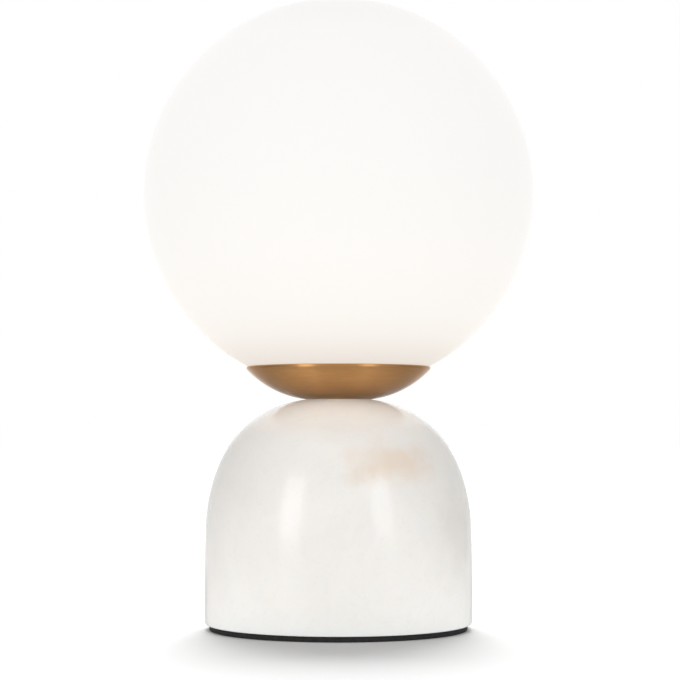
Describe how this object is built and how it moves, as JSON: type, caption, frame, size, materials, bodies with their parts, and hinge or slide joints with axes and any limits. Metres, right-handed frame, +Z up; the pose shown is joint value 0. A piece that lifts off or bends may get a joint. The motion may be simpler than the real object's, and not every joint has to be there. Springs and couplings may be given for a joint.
{
  "type": "glass globe table lamp",
  "caption": "Table lamp with an opal glass globe seated in a shallow spun brass cup on a domed marble base; the globe unscrews and lifts off, and the bulb pulls out.",
  "frame": {"origin": "on the table, at the middle of the object's box, on the axis of the marble base and the globe", "axes": "+Z up along the lamp's axis, -Y to the front, +Y to the back where the cable inlet is"},
  "size_m": [0.15, 0.15, 0.2418],
  "materials": {
    "marble": "polished white marble with faint warm veins",
    "pad": "matte black foam rubber",
    "bush": "moulded, white",
    "zinc_steel": "zinc plated",
    "screw_steel": "zinc plated",
    "block_plastic": "natural moulded nylon",
    "terminal_brass": "plain",
    "cup_brass": "spun, fine satin brushing round the axis, lacquered",
    "sleeve_aluminium": "turned, threaded",
    "silicone": "translucent white silicone",
    "opal_glass": "opal white, satin outside",
    "collar_plastic": "moulded white",
    "holder_ceramic": "steatite, unglazed",
    "bulb_plastic": "white",
    "bulb_milky": "milky diffuser",
    "board": "white circuit board",
    "pin_metal": "tinned",
    "lead_brown": "brown silicone insulation",
    "lead_blue": "blue silicone insulation"
  },
  "bodies": {
    "lamp_base": {"marble_base": "marble", "base_pad": "pad", "cable_bush": "bush", "base_cover": "zinc_steel", "cover_screws": "screw_steel", "base_strap": "zinc_steel", "terminal_block": "block_plastic", "terminal_sleeves": "terminal_brass", "terminal_screws": "screw_steel", "block_fixing_screw": "screw_steel", "stem_tube": "zinc_steel", "bottom_lock_washer": "screw_steel", "bottom_nut": "zinc_steel", "top_lock_washer": "screw_steel", "top_nut": "zinc_steel", "globe_cup": "cup_brass", "gallery_sleeve": "sleeve_aluminium", "holder_strap": "zinc_steel", "holder_body": "holder_ceramic", "holder_contacts": "terminal_brass", "holder_screws": "screw_steel", "lead_live": "lead_brown", "lead_neutral": "lead_blue"},
    "seat_ring": {"seat_ring": "silicone"},
    "globe": {"glass_globe": "opal_glass", "globe_collar": "collar_plastic"},
    "bulb": {"bulb_base": "bulb_plastic", "bulb_pins": "pin_metal", "bulb_diffuser": "bulb_milky", "bulb_board": "board"}
  },
  "joints": [
    {"name": "globe_turn", "type": "hinge", "parent": "lamp_base", "child": "seat_ring", "pos_m": [0, 0, 0.0915], "axis": [0, 0, 1], "range_deg": [0, 900]},
    {"name": "globe_lift", "type": "slide", "parent": "seat_ring", "child": "globe", "axis": [0, 0, 1], "range_m": [0, 0.12]},
    {"name": "bulb_pull", "type": "slide", "parent": "lamp_base", "child": "bulb", "axis": [0, 0, 1], "range_m": [0, 0.03]}
  ]
}
